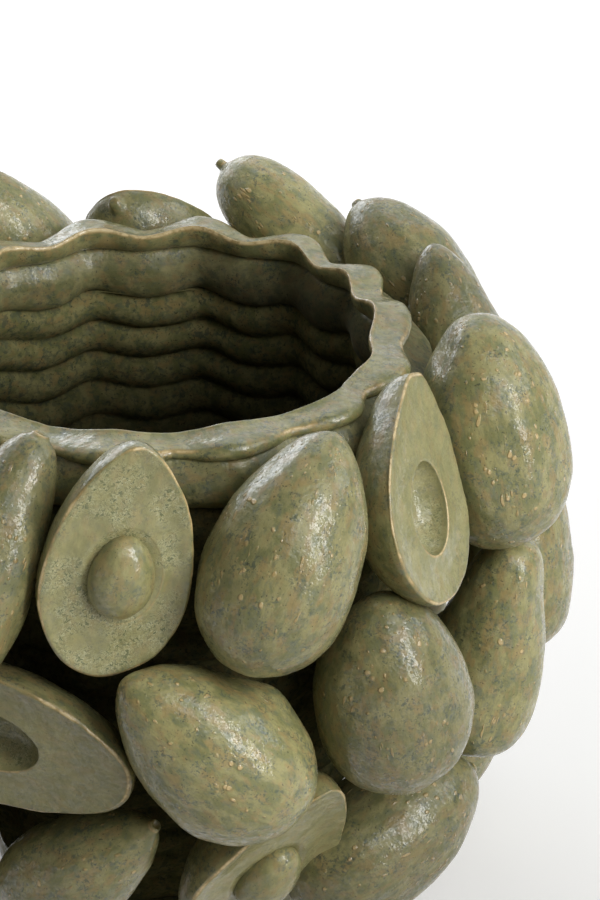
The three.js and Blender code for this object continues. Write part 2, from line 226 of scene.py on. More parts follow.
@dataclass
class Fruit:
    """One moulded avocado.

    at is its place round the vase and z the height of its middle. tilt is the tilt of its stem end
    from upright, off the distance of its middle or cut face from the pot, lean the lean of the stem
    end away from the pot and turn its turn about its own length. narrow says how much it narrows to
    the stem and blunt how blunt its ends are. facets are planes shaved off it, each a lean to the
    stem end, a place round its girth, the share that is left and how softly it blends. presses are
    soft dents, each a place along it, a place round it, a length, an angle and a depth. bloom is
    how much of a cut face is crusted with pale crystals, pale how much paler or darker it is painted
    than the rest, partly the glaze's own tone from fruit to fruit and partly painted light or
    painted shade where the fruit lies in light or in shadow, and pit the place of the pit or hollow
    along the face and across it.
    """
    node: str
    kind: str
    at: float
    z: float
    tilt: float
    length: float
    width: float
    off: float
    lean: float = 0
    turn: float = 0
    narrow: float = NARROWING
    blunt: float = 1
    stem: str = ""
    facets: tuple = ()
    presses: tuple = ()
    bloom: float = 0.15
    pale: float = 0
    pit: tuple = PIT_PLACE


# Each fruit's pale is partly its glaze's own tone and partly painted light or painted shade.
FRUITS = [
    Fruit("top_01", "whole", -27.5, 229, 17, 118, 58, 33, lean=-19, narrow=0.38, blunt=0.6,
          stem="ring", pale=-0.1),
    Fruit("top_02", "pit", -5, 234.7, 10.5, 113, 66, 32, lean=9, turn=-16, blunt=1.08,
          bloom=1, pit=(-6, -1.2), pale=0.14),
    Fruit("top_03", "whole", 21.5, 231.7, 28.6, 110, 69.4, 29.3, lean=-2.7, narrow=0.21, blunt=1.13,
          facets=((31, -4, 0.945, 0.5), (0, 150, 0.97, 1.5)), pale=0.04),
    Fruit("top_04", "hollow", 49.2, 237.7, 24, 102.8, 67.5, 32.2, lean=-15.3, turn=-6.8, narrow=0.33,
          blunt=1.16, facets=((83, 0, 0.965, 0.5),), pale=0.02),
    Fruit("top_05", "whole", 74.8, 233.4, 8.8, 107.5, 73.5, 31.5, lean=-2.8, narrow=0.18, blunt=0.92,
          facets=((38, 305, 0.93, 0.7), (0, 66, 0.965, 1.6), (0, 22, 0.965, 1.6), (4, 112, 0.97, 1.2)),
          pale=0.15),
    Fruit("top_06", "whole", 108.6, 226.3, 25.4, 107.7, 54.6, 25.7, lean=2.8, narrow=0.28, blunt=1.02,
          pale=-0.24),
    Fruit("top_07", "whole", 126.3, 235.7, 46.7, 104.2, 57.1, 35.2, lean=-2.4, narrow=-0.03, blunt=1.13,
          stem="nub", pale=-0.06),
    Fruit("top_08", "whole", 150.4, 243.7, 65, 110.7, 44.1, 31.9, lean=13.8, narrow=-0.26, blunt=0.9,
          stem="peg", facets=((-22, 12, 0.86, 0.5),), pale=0.3),
    Fruit("top_09", "pit", 178, 233, 24, 102, 71, 32, lean=-20, turn=5, narrow=0.14, stem="knob",
          pale=-0.15),
    Fruit("top_10", "whole", 204, 236, 30, 112, 65, 29, lean=13, stem="nub", pale=0.15),
    Fruit("top_11", "hollow", 233, 233, -12, 106, 68, 32),
    Fruit("top_12", "whole", 258, 231, 16, 110, 67, 30, stem="nub", pale=-0.1),
    Fruit("top_13", "pit", 283, 234, -8, 107, 68, 32, pale=0.06),
    Fruit("top_14", "whole", 308, 229, -20, 109, 67, 30),
    Fruit("middle_01", "hollow", -22.6, 147.4, 101.6, 107, 68.4, 32, lean=-1, turn=1.6, blunt=0.82,
          pale=-0.2),
    Fruit("middle_02", "whole", 8.3, 151.6, -43.9, 108.5, 71.4, 29.2, narrow=0.28, blunt=1.14,
          presses=((17, 190, 9, 30, 2.0), (-10, 200, 9, 30, -2.2)), pale=0.25),
    Fruit("middle_03", "whole", 39.5, 158, -10.3, 103, 71.4, 32.3, lean=-3.1, narrow=0.13, blunt=1.06,
          pale=-0.16),
    Fruit("middle_04", "whole", 74, 136, 3, 109, 55.5, 33, lean=2, narrow=0.27, blunt=0.5, stem="nub",
          presses=((28, 78, 15, 40, 2.8),), pale=0.2),
    Fruit("middle_05", "whole", 93.8, 157.4, 15.2, 105.7, 63.3, 36.9, lean=-5.9, narrow=0.21, blunt=0.69,
          pale=0.06),
    Fruit("middle_06", "whole", 121, 146, 35, 107, 67, 30),
    Fruit("middle_07", "pit", 149, 148, -30, 106, 68, 32, pale=0.08),
    Fruit("middle_08", "whole", 177, 145, 42, 108, 68, 30, stem="nub"),
    Fruit("middle_09", "whole", 204, 150, -14, 107, 68, 30, pale=-0.12),
    Fruit("middle_10", "hollow", 231, 146, 28, 106, 67, 32),
    Fruit("middle_11", "whole", 258, 150, -36, 108, 68, 30, pale=0.08),
    Fruit("middle_12", "whole", 286, 147, 20, 107, 67, 30, stem="nub"),
    Fruit("middle_13", "whole", 311, 156, -8, 106, 66, 30),
    Fruit("bottom_01", "whole", -15.2, 78.5, 45.3, 104, 53, 25, lean=-1.3, narrow=0.27, blunt=1.06,
          stem="hook"),
    Fruit("bottom_02", "pit", 21.6, 83, 18.9, 109.8, 72.7, 33, lean=4.6, turn=-6.9, narrow=0.39, blunt=1.09),
    Fruit("bottom_03", "whole", 49.3, 69.3, 60.7, 103.8, 66.5, 32.9, lean=8.1, narrow=0.11, blunt=1.05,
          stem="nub", pale=-0.25),
    Fruit("bottom_04", "whole", 95, 76, 20, 100, 66, 31),
    Fruit("bottom_05", "whole", 130, 72, -48, 106, 66, 30, pale=-0.08),
    Fruit("bottom_06", "hollow", 166, 74, 62, 106, 67, 32),
    Fruit("bottom_07", "whole", 201, 70, -40, 107, 66, 30, stem="nub", pale=0.06),
    Fruit("bottom_08", "whole", 237, 72, 50, 106, 66, 30),
    Fruit("bottom_09", "pit", 272, 76, -58, 106, 67, 32),
    Fruit("bottom_10", "whole", 308, 70, 38, 106, 65, 30),
]


# The camera stands where the photograph was taken from.

SENSOR = 36
LENS = 160
CLIP_NEAR = 0.05
CLIP_FAR = 60
CAMERA_PLACE = (0, -1.6123, 1.0723)
CAMERA_DOWN = 28.166
CAMERA_RIGHT = 2.4174


def make_camera():
    data = bpy.data.cameras.new("camera")
    data.sensor_width = SENSOR
    data.lens = LENS
    data.clip_start = CLIP_NEAR
    data.clip_end = CLIP_FAR
    camera = bpy.data.objects.new("camera", data)
    camera.location = CAMERA_PLACE
    camera.rotation_euler = (math.radians(90 - CAMERA_DOWN), 0, math.radians(-CAMERA_RIGHT))
    bpy.context.scene.collection.objects.link(camera)
    bpy.context.scene.camera = camera


# Numbers that several shapes share.

def smooth(value, low, high):
    """0 below low, 1 above high, eased between."""
    t = np.clip((value - low) / (high - low), 0, 1)
    return t * t * (3 - 2 * t)


def body_radius(height):
    return np.interp(height, [p[0] for p in BODY_LINE], [p[1] for p in BODY_LINE])


def round_body_radius(height):
    """The same radius, rounded off between the heights at which it is given."""
    return sum(body_radius(np.asarray(height) + step) for step in LINE_STEPS) / len(LINE_STEPS)


def corner_value(x, y, z, seed):
    """A fixed number from -1 to 1 for each whole-number corner of space."""
    h = (x * 374761393 + y * 668265263 + z * 1440662683 + seed * 1013904223) & 0xFFFFFFFF
    h = ((h ^ (h >> 13)) * 1274126177) & 0xFFFFFFFF
    h = ((h ^ (h >> 15)) * 2246822519) & 0xFFFFFFFF
    return ((h ^ (h >> 16)) & 0xFFFFFF) / 8388607.5 - 1


def noise(points, size, seed):
    """Smooth bumps about as wide as size, from -1 to 1."""
    q = points / size
    cell = np.floor(q).astype(np.int64)
    f = q - cell
    w = f * f * f * (f * (f * 6 - 15) + 10)
    total = np.zeros(points.shape[:-1])
    for dx in (0, 1):
        for dy in (0, 1):
            for dz in (0, 1):
                part = corner_value(cell[..., 0] + dx, cell[..., 1] + dy, cell[..., 2] + dz, seed)
                part = part * (w[..., 0] if dx else 1 - w[..., 0])
                part = part * (w[..., 1] if dy else 1 - w[..., 1])
                part = part * (w[..., 2] if dz else 1 - w[..., 2])
                total += part
    return total


def bumps(points, kinds, seed):
    """Bumps of several heights and widths added up."""
    return sum(high * noise(points, wide, seed + i) for i, (high, wide) in enumerate(kinds))


def full_circle(columns):
    return np.linspace(0, FULL_TURN, columns, endpoint=False)


def round_pot(radius, turn, height):
    """Points at a radius, a place round the vase and a height."""
    return np.stack([radius * np.sin(turn), -radius * np.cos(turn), height], axis=2)


# Meshes are made from grids of points: rows run along a profile, columns run round and close.

def grid_normals(grid, loop):
    """Normals of a grid, by the slope between neighbours. They point left of the rows' way."""
    round_step = np.roll(grid, -1, axis=1) - np.roll(grid, 1, axis=1)
    if loop:
        along = np.roll(grid, -1, axis=0) - np.roll(grid, 1, axis=0)
    else:
        along = np.gradient(grid, axis=0)
    normal = np.cross(round_step, along)
    return normal / np.maximum(np.linalg.norm(normal, axis=2, keepdims=True), 1e-9)


def proud(grid, rows, columns):
    """How far a point stands proud of those a few rows and columns away, positive on a ridge."""
    across = np.roll(grid, rows, axis=0) + np.roll(grid, -rows, axis=0)
    along = np.roll(grid, columns, axis=1) + np.roll(grid, -columns, axis=1)
    return ((grid - (across + along) / 4) * grid_normals(grid, True)).sum(axis=2)


def grid_faces(rows, columns, loop):
    """Faces between the rows, and between the end rows or from each to its closing point."""
    index = np.arange(rows * columns).reshape(rows, columns)
    a = index if loop else index[:-1]
    b = np.roll(index, -1, axis=0) if loop else index[1:]
    quads = np.stack([a, b, np.roll(b, -1, axis=1), np.roll(a, -1, axis=1)], axis=2).reshape(-1, 4)
    faces = quads.tolist()
    if not loop:
        first, last = rows * columns, rows * columns + 1
        for i in range(columns):
            j = (i + 1) % columns
            faces.append([first, int(index[0, i]), int(index[0, j])])
            faces.append([last, int(index[-1, j]), int(index[-1, i])])
    return faces


def add_values(mesh, values, loop):
    """Writes a number or a place for each point, which the glaze reads."""
    for key, field in values.items():
        flat = np.asarray(field, dtype=np.float32)
        vector = flat.ndim == 3
        flat = flat.reshape(-1, 3) if vector else flat.reshape(-1)
        if not loop:
            flat = np.concatenate([flat, flat[:1], flat[-1:]])
        layer = mesh.attributes.new(key, "FLOAT_VECTOR" if vector else "FLOAT", "POINT")
        layer.data.foreach_set("vector" if vector else "value", flat.reshape(-1))


def build(name, grid, values, ends=None):
    """A closed mesh from a grid. ends are two points that close it, and without them it is a loop."""
    loop = ends is None
    points = grid.reshape(-1, 3)
    if not loop:
        points = np.concatenate([points, ends])
    mesh = bpy.data.meshes.new(name)
    mesh.from_pydata((points * MM).tolist(), [], grid_faces(*grid.shape[:2], loop))
    mesh.update()
    mesh.polygons.foreach_set("use_smooth", np.ones(len(mesh.polygons), dtype=bool))
    add_values(mesh, values, loop)
    piece = bpy.data.objects.new(name, mesh)
    bpy.context.scene.collection.objects.link(piece)
    return piece


def settle(piece, node, material):
    """The piece stands for its CAD node and takes its glaze."""
    piece.data.materials.append(material)
    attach(piece, "root")
    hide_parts(node)


# The fruits, each worked out in its own axes: X to the stem end, Y across it, Z away from the pot.

def turned(first, second, angle):
    """Two axes turned in their own plane, the first towards the second."""
    c, s = math.cos(angle), math.sin(angle)
    return first * c + second * s, second * c - first * s


def fruit_place(fruit):
    """The fruit's middle and its axes: along it to the stem, across it, and away from the pot."""
    at = math.radians(fruit.at)
    fall = body_radius(fruit.z - SLOPE_REACH) - body_radius(fruit.z + SLOPE_REACH)
    slope = math.atan2(fall, 2 * SLOPE_REACH)
    level = np.array([math.sin(at), -math.cos(at), 0])
    along = np.array([math.cos(at), math.sin(at), 0])
    out = level * math.cos(slope) + np.array([0, 0, math.sin(slope)])
    middle = level * body_radius(fruit.z) + np.array([0, 0, fruit.z]) + out * fruit.off
    axis, _ = turned(np.cross(out, along), along, math.radians(fruit.tilt))
    axis, out = turned(axis, out, math.radians(fruit.lean))
    out, side = turned(out, np.cross(out, axis), math.radians(fruit.turn))
    return middle, np.array([axis, side, out])


def to_vase(grid, middle, axes):
    return grid @ axes + middle


def egg_radius(turn, narrow, blunt):
    """Radius of the egg outline at an angle from its stem end, 1 at its widest."""
    def shape(angle):
        return np.abs(np.sin(angle)) ** blunt * (1 - narrow * np.cos(angle))
    return shape(turn) / shape(np.linspace(0, math.pi, 400)).max() * np.sign(np.sin(turn) + 1e-12)


def mild_facets(seed):
    draw = np.random.default_rng(seed)
    return tuple((0, draw.uniform(0, 360), draw.uniform(*MILD_SHARES), MILD_SOFTNESS)
                 for _ in range(MILD_FACETS))


def shaved(grid, facets):
    """A shape with planes shaved off it, eased where they meet the rest."""
    for lean, place, share, blend in facets:
        e, a = math.radians(lean), math.radians(place)
        way = np.array([math.sin(e), math.cos(e) * math.cos(a), math.cos(e) * math.sin(a)])
        reach = grid @ way
        beyond = blend * np.logaddexp(0, (reach - share * reach.max()) / blend)
        grid = grid - beyond[..., None] * way
    return grid


def pressed(along, angle, presses):
    """Depth of the soft dents at a place along a fruit and round it."""
    depth = np.zeros_like(along)
    for place, round_place, length, spread, deep in presses:
        apart = (angle - math.radians(round_place) + math.pi) % FULL_TURN - math.pi
        depth += deep * np.exp(-((along - place) / length) ** 2 - (apart / math.radians(spread)) ** 2)
    return depth


def whole_profile(fruit):
    """Distances along a fruit and shares of its girth, from its stem to its far end, and its tip."""
    turns = np.linspace(0, math.pi, WHOLE_ROWS + 2)[1:-1]
    girth = egg_radius(turns, fruit.narrow, fruit.blunt)
    profile = np.stack([np.cos(turns) * fruit.length / 2, girth], axis=1)
    tip = fruit.length / 2
    if not fruit.stem:
        return profile, tip
    stub = np.array([(tip + past, radius / (fruit.width / 2)) for past, radius in STEMS[fruit.stem]])
    kept = profile[profile[:, 1] > stub[-1, 1] + STUB_ROOM]
    return np.concatenate([stub, kept]), stub[0][0]


def stem_wear(past, angle):
    """Wear on the lip of a stem stub, more on one side, by the distance past the fruit's end."""
    return np.exp(-((past - 1.2) / 0.8) ** 2) * (past > 0.1) * (0.6 + 0.4 * np.cos(angle - 1))


def whole_fruit(fruit, seed, material):
    profile, tip = whole_profile(fruit)
    angle = full_circle(WHOLE_COLUMNS)
    along = profile[:, :1] + 0 * angle
    girth = profile[:, 1:]
    wide, deep = fruit.width / 2, WHOLE_DEPTH * fruit.width / 2
    grid = np.stack([along, girth * np.cos(angle) * wide, girth * np.sin(angle) * deep], axis=2)
    grid = shaved(grid, fruit.facets or mild_facets(seed))
    where = grid + FRUIT_START + NOISE_STEP * seed
    high, broad = WHOLE_STREAK
    streak = high * noise(where * np.array([0.25, 1, 1]), broad, seed + len(WHOLE_LUMPS))
    shift = (bumps(where, WHOLE_LUMPS, seed) + streak) * smooth(girth, 0.06, 0.35)
    shift = shift - pressed(along, angle, fruit.presses)
    grid = grid - grid_normals(grid, False) * shift[..., None]
    wear = stem_wear(along - fruit.length / 2, angle) if fruit.stem else np.zeros_like(along)
    middle, axes = fruit_place(fruit)
    ends = [to_vase(np.array([x, 0, 0]), middle, axes) for x in (tip, -fruit.length / 2)]
    values = {"wear": wear, "grain": grid + GRAIN_STEP * seed, "face": 0 * along,
              "pale": 0 * along + fruit.pale}
    piece = build(f"{fruit.node}_fruit", to_vase(grid, middle, axes), values, ends)
    settle(piece, f"{fruit.node}_whole", material)


def half_outline(fruit, angle, seed):
    """The slightly uneven edge of a cut face."""
    girth = egg_radius(angle, fruit.narrow, fruit.blunt) * fruit.width / 2
    outline = np.stack([np.cos(angle) * fruit.length / 2, girth, 0 * angle], axis=1)
    away = outline / np.linalg.norm(outline, axis=1, keepdims=True)
    outline = shaved(outline, fruit.facets)
    uneven = 0.6 * noise(outline + 500 + 90 * seed, 22, seed)
    return outline + away * uneven[:, None]


def inset(outline, distance):
    return outline * (1 - distance / np.linalg.norm(outline, axis=1, keepdims=True))


# A half is made of rings, each with its points, their height over the cut, their wear and their
# share of flesh.

def face_rings(fruit, outline, angle):
    """Rings from the dish's middle over the flat face to its edge."""
    dish = DISHES[fruit.kind]
    long, short, deep = dish.size
    centre = np.array([*fruit.pit, 0])
    hole = centre + np.stack([np.cos(angle) * long, egg_radius(angle, 0.08, 1) * short, 0 * angle], axis=1)
    lip = (0.5 + 0.5 * np.cos(angle - DISH_LIP_PLACE)) * dish.lip
    rings = []
    for t in np.linspace(0.05, 1, DISH_ROWS):
        s = math.sin(t * math.pi / 2)
        bowl = (1 - s ** DISH_FLATNESS) ** dish.curve
        rings.append((centre + (hole - centre) * s, -deep * bowl, 0, 1))
    for grow, lift, worn in DISH_LIP:
        edge, edge_height = centre + (hole - centre) * grow, FACE_RISE + lift * lip
        rings.append((edge, edge_height, worn * lip, 1))
    # The face runs from the last of these rings to just inside its own edge.
    outer = inset(outline, FACE_INSET)
    for q in np.linspace(0, 1, FACE_ROWS)[1:]:
        height = edge_height * (1 - q) - FACE_SAG * math.sin(math.pi * q)
        rings.append((edge * (1 - q) + outer * q, height, 0, 1))
    return rings


def lip_rings(outline, seed):
    """Rings over the rounded lip between the face and the skin, worn in broken lengths."""
    broken = smooth(noise(outline + 900 + 70 * seed, 9, seed + 7), -0.35, 0.35)
    rings = []
    for t in np.linspace(0, math.pi / 2, LIP_ROWS):
        ring = inset(outline, LIP_RADIUS * (1 - math.sin(t)) + LIP_INSET)
        worn = math.exp(-((t - 0.75) / 0.55) ** 2) * (0.4 + 0.6 * broken)
        rings.append((ring, LIP_TOP - LIP_RADIUS * (1 - math.cos(t)), worn, 0.5 if t < 1.2 else 0.2))
    return rings


def skin_rings(outline, pole):
    """Rings from the lip to the back of the skin."""
    rings = []
    for t in np.linspace(0, math.pi / 2, SKIN_ROWS)[1:-1]:
        ring = outline * math.cos(t) + pole * (1 - math.cos(t))
        rings.append((ring, LIP_FOOT - (HALF_DEPTH + LIP_FOOT) * math.sin(t), 0, 0))
    return rings


def with_knob(grid, wear, tip):
    """A stem knob raised from the skin below the cut edge at the narrow end."""
    across = np.hypot(grid[..., 1], grid[..., 2] + KNOB_DROP)
    on_skin = (grid[..., 2] < LIP_FOOT - 0.6) & (grid[..., 0] > tip - KNOB_ROOM)
    rise = np.where(on_skin, smooth(KNOB_RADIUS - across, 0, KNOB_EDGE), 0)
    grid[..., 0] += KNOB_HEIGHT * rise
    return grid, np.maximum(wear, KNOB_WEAR * (rise > 0.3) * (rise < 0.95))


def half_fruit(fruit, seed, material):
    """A half: dish, flat face, rounded lip and skin, in rings from the dish's middle outwards."""
    angle = full_circle(HALF_COLUMNS)
    outline = half_outline(fruit, angle, seed)
    pole = np.array([POLE_PLACE, 0, -HALF_DEPTH])
    rings = face_rings(fruit, outline, angle) + lip_rings(outline, seed) + skin_rings(outline, pole)
    grid = np.stack([np.stack([p[:, 0], p[:, 1], z + 0 * angle], axis=1) for p, z, _, _ in rings])
    wear = np.stack([worn + 0 * angle for _, _, worn, _ in rings])
    face = np.stack([fleshy + 0 * angle for _, _, _, fleshy in rings])
    crust = np.full(wear.shape, fruit.bloom)
    crust[:CRUSTED_ROWS] = max(fruit.bloom, DISHES[fruit.kind].crust)
    if fruit.stem:
        grid, wear = with_knob(grid, wear, fruit.length / 2)
    where = grid + FRUIT_START + NOISE_STEP * seed
    lumps = bumps(where, HALF_LUMPS, seed)
    dents = bumps(where, FACE_DENTS, seed + len(HALF_LUMPS))
    grid = grid - grid_normals(grid, False) * np.where(face > 0.3, dents, lumps)[..., None]
    middle, axes = fruit_place(fruit)
    bottom = np.array([*fruit.pit, -DISHES[fruit.kind].size[2]])
    ends = [to_vase(end, middle, axes) for end in (bottom, pole)]
    values = {"wear": wear, "grain": grid + GRAIN_STEP * seed, "face": face, "bloom": face * crust,
              "pale": 0 * face + fruit.pale}
    piece = build(f"{fruit.node}_fruit", to_vase(grid, middle, axes), values, ends)
    settle(piece, f"{fruit.node}_half", material)


def pit_stone(fruit, seed, material):
    long, short, high = PIT_SIZE
    turns = np.linspace(0, math.pi, PIT_ROWS + 2)[1:-1]
    radius = egg_radius(turns, 0.1, 0.95)[:, None]
    angle = full_circle(PIT_COLUMNS)
    along = np.cos(turns)[:, None] * long + 0 * angle
    centre = np.array([*fruit.pit, PIT_RAISED])
    grid = np.stack([along, radius * short * np.cos(angle), radius * high * np.sin(angle)], axis=2) + centre
    lumps = bumps(grid + PIT_START + NOISE_STEP * seed, PIT_LUMPS, seed)
    grid = grid - grid_normals(grid, False) * lumps[..., None]
    middle, axes = fruit_place(fruit)
    ends = [to_vase(centre + np.array([end, 0, 0]), middle, axes) for end in (long, -long)]
    flat = np.zeros(grid.shape[:2])
    values = {"wear": flat, "grain": grid + GRAIN_STEP * seed + PIT_GRAIN, "face": flat + PIT_FLESH,
              "pale": flat + fruit.pale}
    piece = build(f"{fruit.node}_stone", to_vase(grid, middle, axes), values, ends)
    settle(piece, f"{fruit.node}_pit", material)


# The pot.

def between_lobes(turn, first, values, last):
    """A value given at each lobe, at a place round the pot, carried on past both ends of the circle."""
    known = np.array([LOBE_PLACES[-1] - 360] + LOBE_PLACES + [LOBE_PLACES[0] + 360])
    return np.interp(np.degrees(turn) % 360, known, [first, *values, last])


def lobe_wave(turn):
    """1 at the outward lobes, -1 midway between them, and the angle within the lobes in radians."""
    phases = np.arange(-1, LOBES + 1) * 2 * math.pi
    phase = between_lobes(turn, phases[0], phases[1:-1], phases[-1])
    return np.cos(phase), phase


def lobe_reach(turn):
    """How far the rim's fold swings at a place, from the lobes on each side of it."""
    return between_lobes(turn, LOBE_REACHES[-1], LOBE_REACHES, LOBE_REACHES[0])


def mouth_bulge(turn):
    """How far the mouth's edge stands out of its circle."""
    total = 0 * turn
    for place, width, depth in MOUTH_BULGES:
        total = total + depth * np.exp(-((np.degrees(turn) % 360 - place) / width) ** 2)
    return total


def swell(turn):
    """0 at the upright creases inside the wall and 1 in the middle between two of them."""
    eased = CREASE_SOFTNESS
    rise = np.sqrt(np.sin(lobe_wave(turn)[1] / 2) ** 2 + eased)
    return (rise - math.sqrt(eased)) / (math.sqrt(1 + eased) - math.sqrt(eased))


def rounded(corners):
    """A closed outline with its corners cut again and again until it is round."""
    line = np.array(corners, float)
    for _ in range(ROUNDING_PASSES):
        after = np.roll(line, -1, axis=0)
        line = np.stack([line * 0.75 + after * 0.25, line * 0.25 + after * 0.75], axis=1).reshape(-1, 2)
    return line


def on_cylinder(turn, radius, height=0):
    """Points on a cylinder, to look up noise that closes round the pot."""
    return np.stack([np.sin(turn) * radius, np.cos(turn) * radius, height + 0 * turn], axis=2)


def ring_grid(section, angle, outward, upward):
    """A closed section of radius and height carried round, moved by two functions of place."""
    radius = section[:, :1] + 0 * angle
    height = section[:, 1:] + 0 * angle
    turn = angle[None, :] + 0 * radius
    moved = radius + outward(turn, radius, height)
    return round_pot(moved, turn, height + upward(turn, radius, height))


def dented(grid, seed):
    """Adds the potter's small dents to a ring of clay."""
    return grid + grid_normals(grid, True) * bumps(grid + RING_START, RING_DENTS, seed)[..., None]


def rim_outward(turn, radius, height):
    """The fold outside swings with the lobes, sharper than a wave, and the inner edge follows less."""
    wave, phase = lobe_wave(turn)
    full = 0.6 * wave + 0.4 * (2 * np.abs(np.cos(phase / 2)) - 1.27)
    share = smooth(radius, 103, 112)
    inner = INNER_LOBE * wave + mouth_bulge(turn)
    return inner * (1 - share) + lobe_reach(turn) * full * share


def rim_upward(turn, radius, height):
    """The higher a point of the rim, the more it rises at the lobes."""
    free = (height - 261) / 11
    uneven = 0.7 * noise(on_cylinder(turn, 110) + 900, 60, seed=7)
    return free * (RIM_LIFT * lobe_wave(turn)[0] + uneven)


def near(section, place, reach):
    """1 at a place in a section, fading to 0 round it."""
    across = (section[:, 0] - place[0]) / reach[0]
    up = (section[:, 1] - place[1]) / reach[1]
    return np.exp(-across ** 2 - up ** 2)[:, None]


def rim_coil(material):
    section = rounded(RIM_SECTION)
    angle = full_circle(RING_COLUMNS)
    grid = dented(ring_grid(section, angle, rim_outward, rim_upward), seed=11)
    valley = smooth(-lobe_wave(angle)[0], -0.2, 0.8)
    behind = smooth(-np.cos(angle), -0.75, -0.3)
    wear = near(section, *RIM_EDGE) * (0.15 + 0.85 * behind) + 0.8 * near(section, *RIM_FOLD) * valley
    wear = np.clip(wear + 0.25 * smooth(proud(grid, 2, 3), 0.35, 0.8), 0, 1)
    piece = build("rim", grid, {"wear": wear, "grain": grid + 300, "face": 0 * wear})
    settle(piece, "rim_coil", material)


def collar_outward(turn, radius, height):
    """Outside it has lobes and flares towards the back. Inside it swells between the creases."""
    outside = smooth(radius, 108, 113)
    upper = smooth(height, 252, 263)
    wave = lobe_wave(turn)[0]
    lobes = COLLAR_LOBE * (wave - 1) * np.cos(turn / 2) ** 2 * (1 - upper)
    lobes = lobes + lobe_reach(turn) * COLLAR_TOP_LOBE * wave * upper
    flare = COLLAR_FLARE * np.abs(np.sin(turn / 2)) ** 0.7 * (1 - smooth(height, 252, 263.5))
    outer = lobes + flare + 0.9 * noise(on_cylinder(turn, 115) + 300, 40, seed=9)
    inner = 1.0 - SWELL * swell(turn) + 0.7 * noise(on_cylinder(turn, 115) + 600, 34, seed=10)
    inner = inner * (1 - upper) + (INNER_LOBE * wave + mouth_bulge(turn)) * upper
    return outer * outside + inner * (1 - outside)


def collar_upward(turn, radius, height):
    """Its lower inner edge droops with the swelling."""
    low = 1 - smooth(height, 240, 254)
    return -SWELL_DROOP * swell(turn) * low * (1 - smooth(radius, 106, 112))


def collar_coil(material):
    section = rounded(COLLAR_SECTION)
    angle = full_circle(RING_COLUMNS)
    grid = dented(ring_grid(section, angle, collar_outward, collar_upward), seed=21)
    outside = smooth(section[:, :1], 108, 113)
    low = 1 - smooth(section[:, 1:], 256, 264)
    # deep is painted shade: outside it grows towards the back, and inside, low down, it is strongest at the
    # back right.
    deep = outside * (0.12 + 0.4 * np.abs(np.sin(angle / 2)))
    deep = deep + (1 - outside) * low * (0.25 + 0.5 * shaded_side(angle))
    flat = 0 * deep
    piece = build("collar", grid, {"wear": flat, "grain": grid + 600, "face": flat, "deep": deep})
    settle(piece, "collar_coil", material)


def shaded_side(turn):
    """The share of painted shade round the inside: 1 at the back right, which little light
    reaches, and 0 at the left.
    """
    return smooth(np.cos(turn - math.radians(SHADED_PLACE)), 0.45, 1.0)


def coil_bulge(height):
    """0 at the grooves between coils and 1 at their crests."""
    share = ((height - WALL_FOOT) / PITCH) % 1
    return np.abs(np.sin(math.pi * share)) ** COIL_ROUNDNESS


def outer_wall(angle):
    turn, height = np.meshgrid(angle, np.linspace(WALL_FOOT + FOOT_GAP, WALL_TOP - TOP_GAP, OUTER_ROWS))
    place = on_cylinder(turn, 120, height)
    sway = 1.4 * noise(place * np.array([1, 1, 0.3]) + 50, 60, seed=31)
    radius = round_body_radius(height) - OUTER_GROOVE + OUTER_RIB * coil_bulge(height + sway)
    radius = radius + OUTER_LOBE * (lobe_wave(turn)[0] - 1) - OUTER_TUCK * smooth(height, *TUCK_HEIGHTS)
    return round_pot(radius, turn, height)


def inner_wall(angle):
    """The inside of the wall from the top down, and the shade painted on it."""
    turn, height = np.meshgrid(angle, np.linspace(WALL_TOP - TOP_GAP, WALL_FOOT + FOOT_GAP, INNER_ROWS))
    place = on_cylinder(turn, 110, height)
    cushion = swell(turn + 0.02 * noise(place * np.array([0.6, 0.6, 1.0]) + 250, 17, seed=33))
    degrees = np.degrees(turn)
    left = smooth(degrees, *LEFT_BEGINS)
    rise = COIL_RISE * left * (1 - smooth(degrees, *LEFT_ENDS))
    sway = 0.9 * noise(place * np.array([1, 1, 0.4]) + 150, 50, seed=32) - rise
    fat = 0.95 + 0.35 * noise(place + 350, 30, seed=34)
    bulge = coil_bulge(height + sway + SWELL_DROOP * cushion)
    radius = round_body_radius(height) - INNER_GROOVE - INNER_RIB * bulge * fat - SWELL * cushion
    # Painted light and shade: the top of the inside is painted as lit, brighter on the right and lit deeper
    # on the left, and painted shade grows with depth, in the grooves and at the back right.
    depth = WALL_TOP + 5 - height
    light = LIGHT_RIGHT + (LIGHT_LEFT - LIGHT_RIGHT) * left
    light = light * (1 - smooth(depth, 0, DARK_RIGHT + (DARK_LEFT - DARK_RIGHT) * left))
    light = light * (1 - GROOVE_PAINTED_SHADE * (1 - bulge) ** 2)
    return round_pot(radius, turn, height), 1 - light * (1 - SHADED_SHARE * shaded_side(turn))


def coil_wall(material):
    angle = full_circle(WALL_COLUMNS)
    outside = outer_wall(angle)
    inside, inside_painted_shade = inner_wall(angle)
    grid = dented(np.concatenate([inside[::-1], outside[::-1]]), seed=41)
    # deep is painted shade: the inside's as worked out above, and an even painted shade outside, behind the
    # fruits.
    deep = np.concatenate([inside_painted_shade[::-1], np.full(outside.shape[:2], OUTER_PAINTED_SHADE)])
    flat = 0 * deep
    piece = build("wall", grid, {"wear": flat, "grain": grid + 900, "face": flat, "deep": deep})
    settle(piece, "coil_wall", material)


